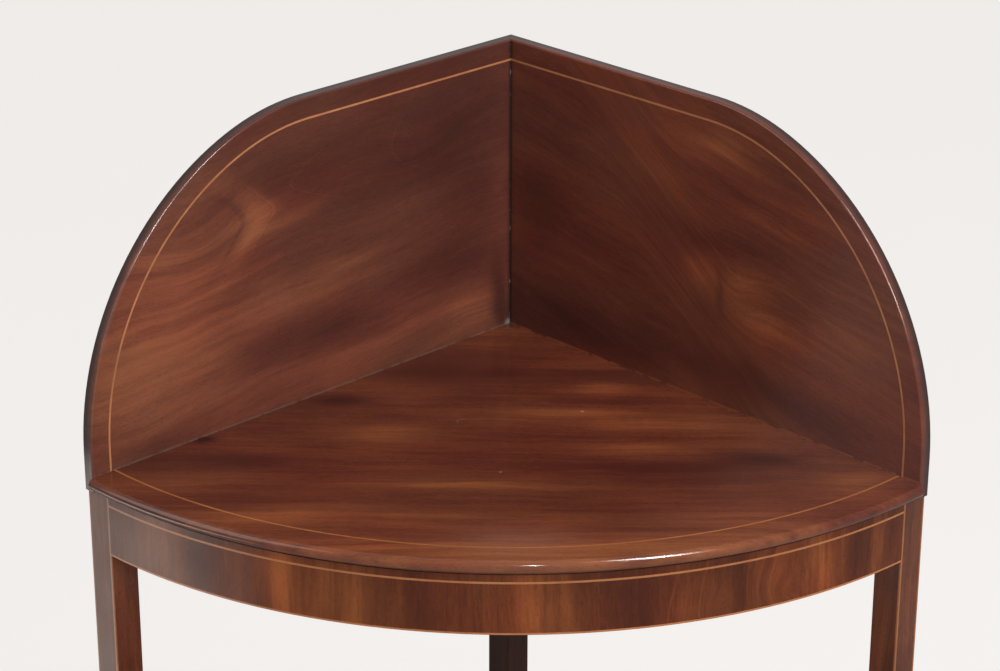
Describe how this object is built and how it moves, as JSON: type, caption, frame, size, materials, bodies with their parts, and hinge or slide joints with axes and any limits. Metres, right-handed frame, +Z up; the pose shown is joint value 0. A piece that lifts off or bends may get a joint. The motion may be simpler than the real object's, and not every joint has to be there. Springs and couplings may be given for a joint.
{
  "type": "corner washstand",
  "caption": "Bow-fronted mahogany corner washstand with shaped splashbacks, boxwood stringing, a shelf over a small bowed drawer, a hollowed undertier and outswept feet.",
  "frame": {"origin": "on the floor, under the middle of the bounding box", "axes": "+Z up, -Y out of the bowed front, +Y towards the room corner behind, +X to the right as seen from the front"},
  "size_m": [0.6408, 0.4428, 1.0775],
  "materials": {
    "mahogany": "French polished",
    "mahogany_veneer": "French polished, grain upright",
    "boxwood": "polished over",
    "pine": "bare",
    "oak": "bare",
    "beech": "bare",
    "brass": "turned and lacquered",
    "steel": "dull"
  },
  "bodies": {
    "stand": {"top_board": "mahogany", "top_string": "boxwood", "top_fixing_blocks": "pine", "top_fixing_screws": "steel", "splashback_right": "mahogany", "splashback_left": "mahogany", "splash_string_right": "boxwood", "splash_string_left": "boxwood", "splash_dowels": "beech", "frieze_core": "pine", "frieze_top_band": "mahogany_veneer", "frieze_string": "boxwood", "frieze_veneer": "mahogany_veneer", "frieze_lower_string": "boxwood", "upper_rail_right": "mahogany", "upper_rail_left": "mahogany", "front_leg_right": "mahogany", "front_leg_left": "mahogany", "rear_leg": "mahogany", "leg_strings_right": "boxwood", "leg_strings_left": "boxwood", "middle_shelf": "mahogany", "shelf_fixing_blocks": "pine", "shelf_fixing_screws": "steel", "case_rail_right": "mahogany", "case_rail_left": "mahogany", "case_bottom_rail": "mahogany", "dummy_front_right": "pine", "dummy_front_left": "pine", "dummy_veneer_right": "mahogany_veneer", "dummy_veneer_left": "mahogany_veneer", "dummy_string_right": "boxwood", "dummy_string_left": "boxwood", "dummy_knobs": "brass", "drawer_guide_right": "pine", "drawer_guide_left": "pine", "drawer_runner_right": "pine", "drawer_runner_left": "pine", "drawer_stops": "pine", "undertier": "mahogany"},
    "drawer": {"drawer_front": "pine", "drawer_veneer": "mahogany_veneer", "drawer_string": "boxwood", "drawer_side_right": "oak", "drawer_side_left": "oak", "drawer_back": "oak", "drawer_bottom": "oak", "drawer_knob": "brass", "drawer_knob_nut": "brass"}
  },
  "joints": [
    {"name": "drawer_slide", "type": "slide", "parent": "stand", "child": "drawer", "axis": [0, -1, 0], "range_m": [0, 0.15]}
  ]
}
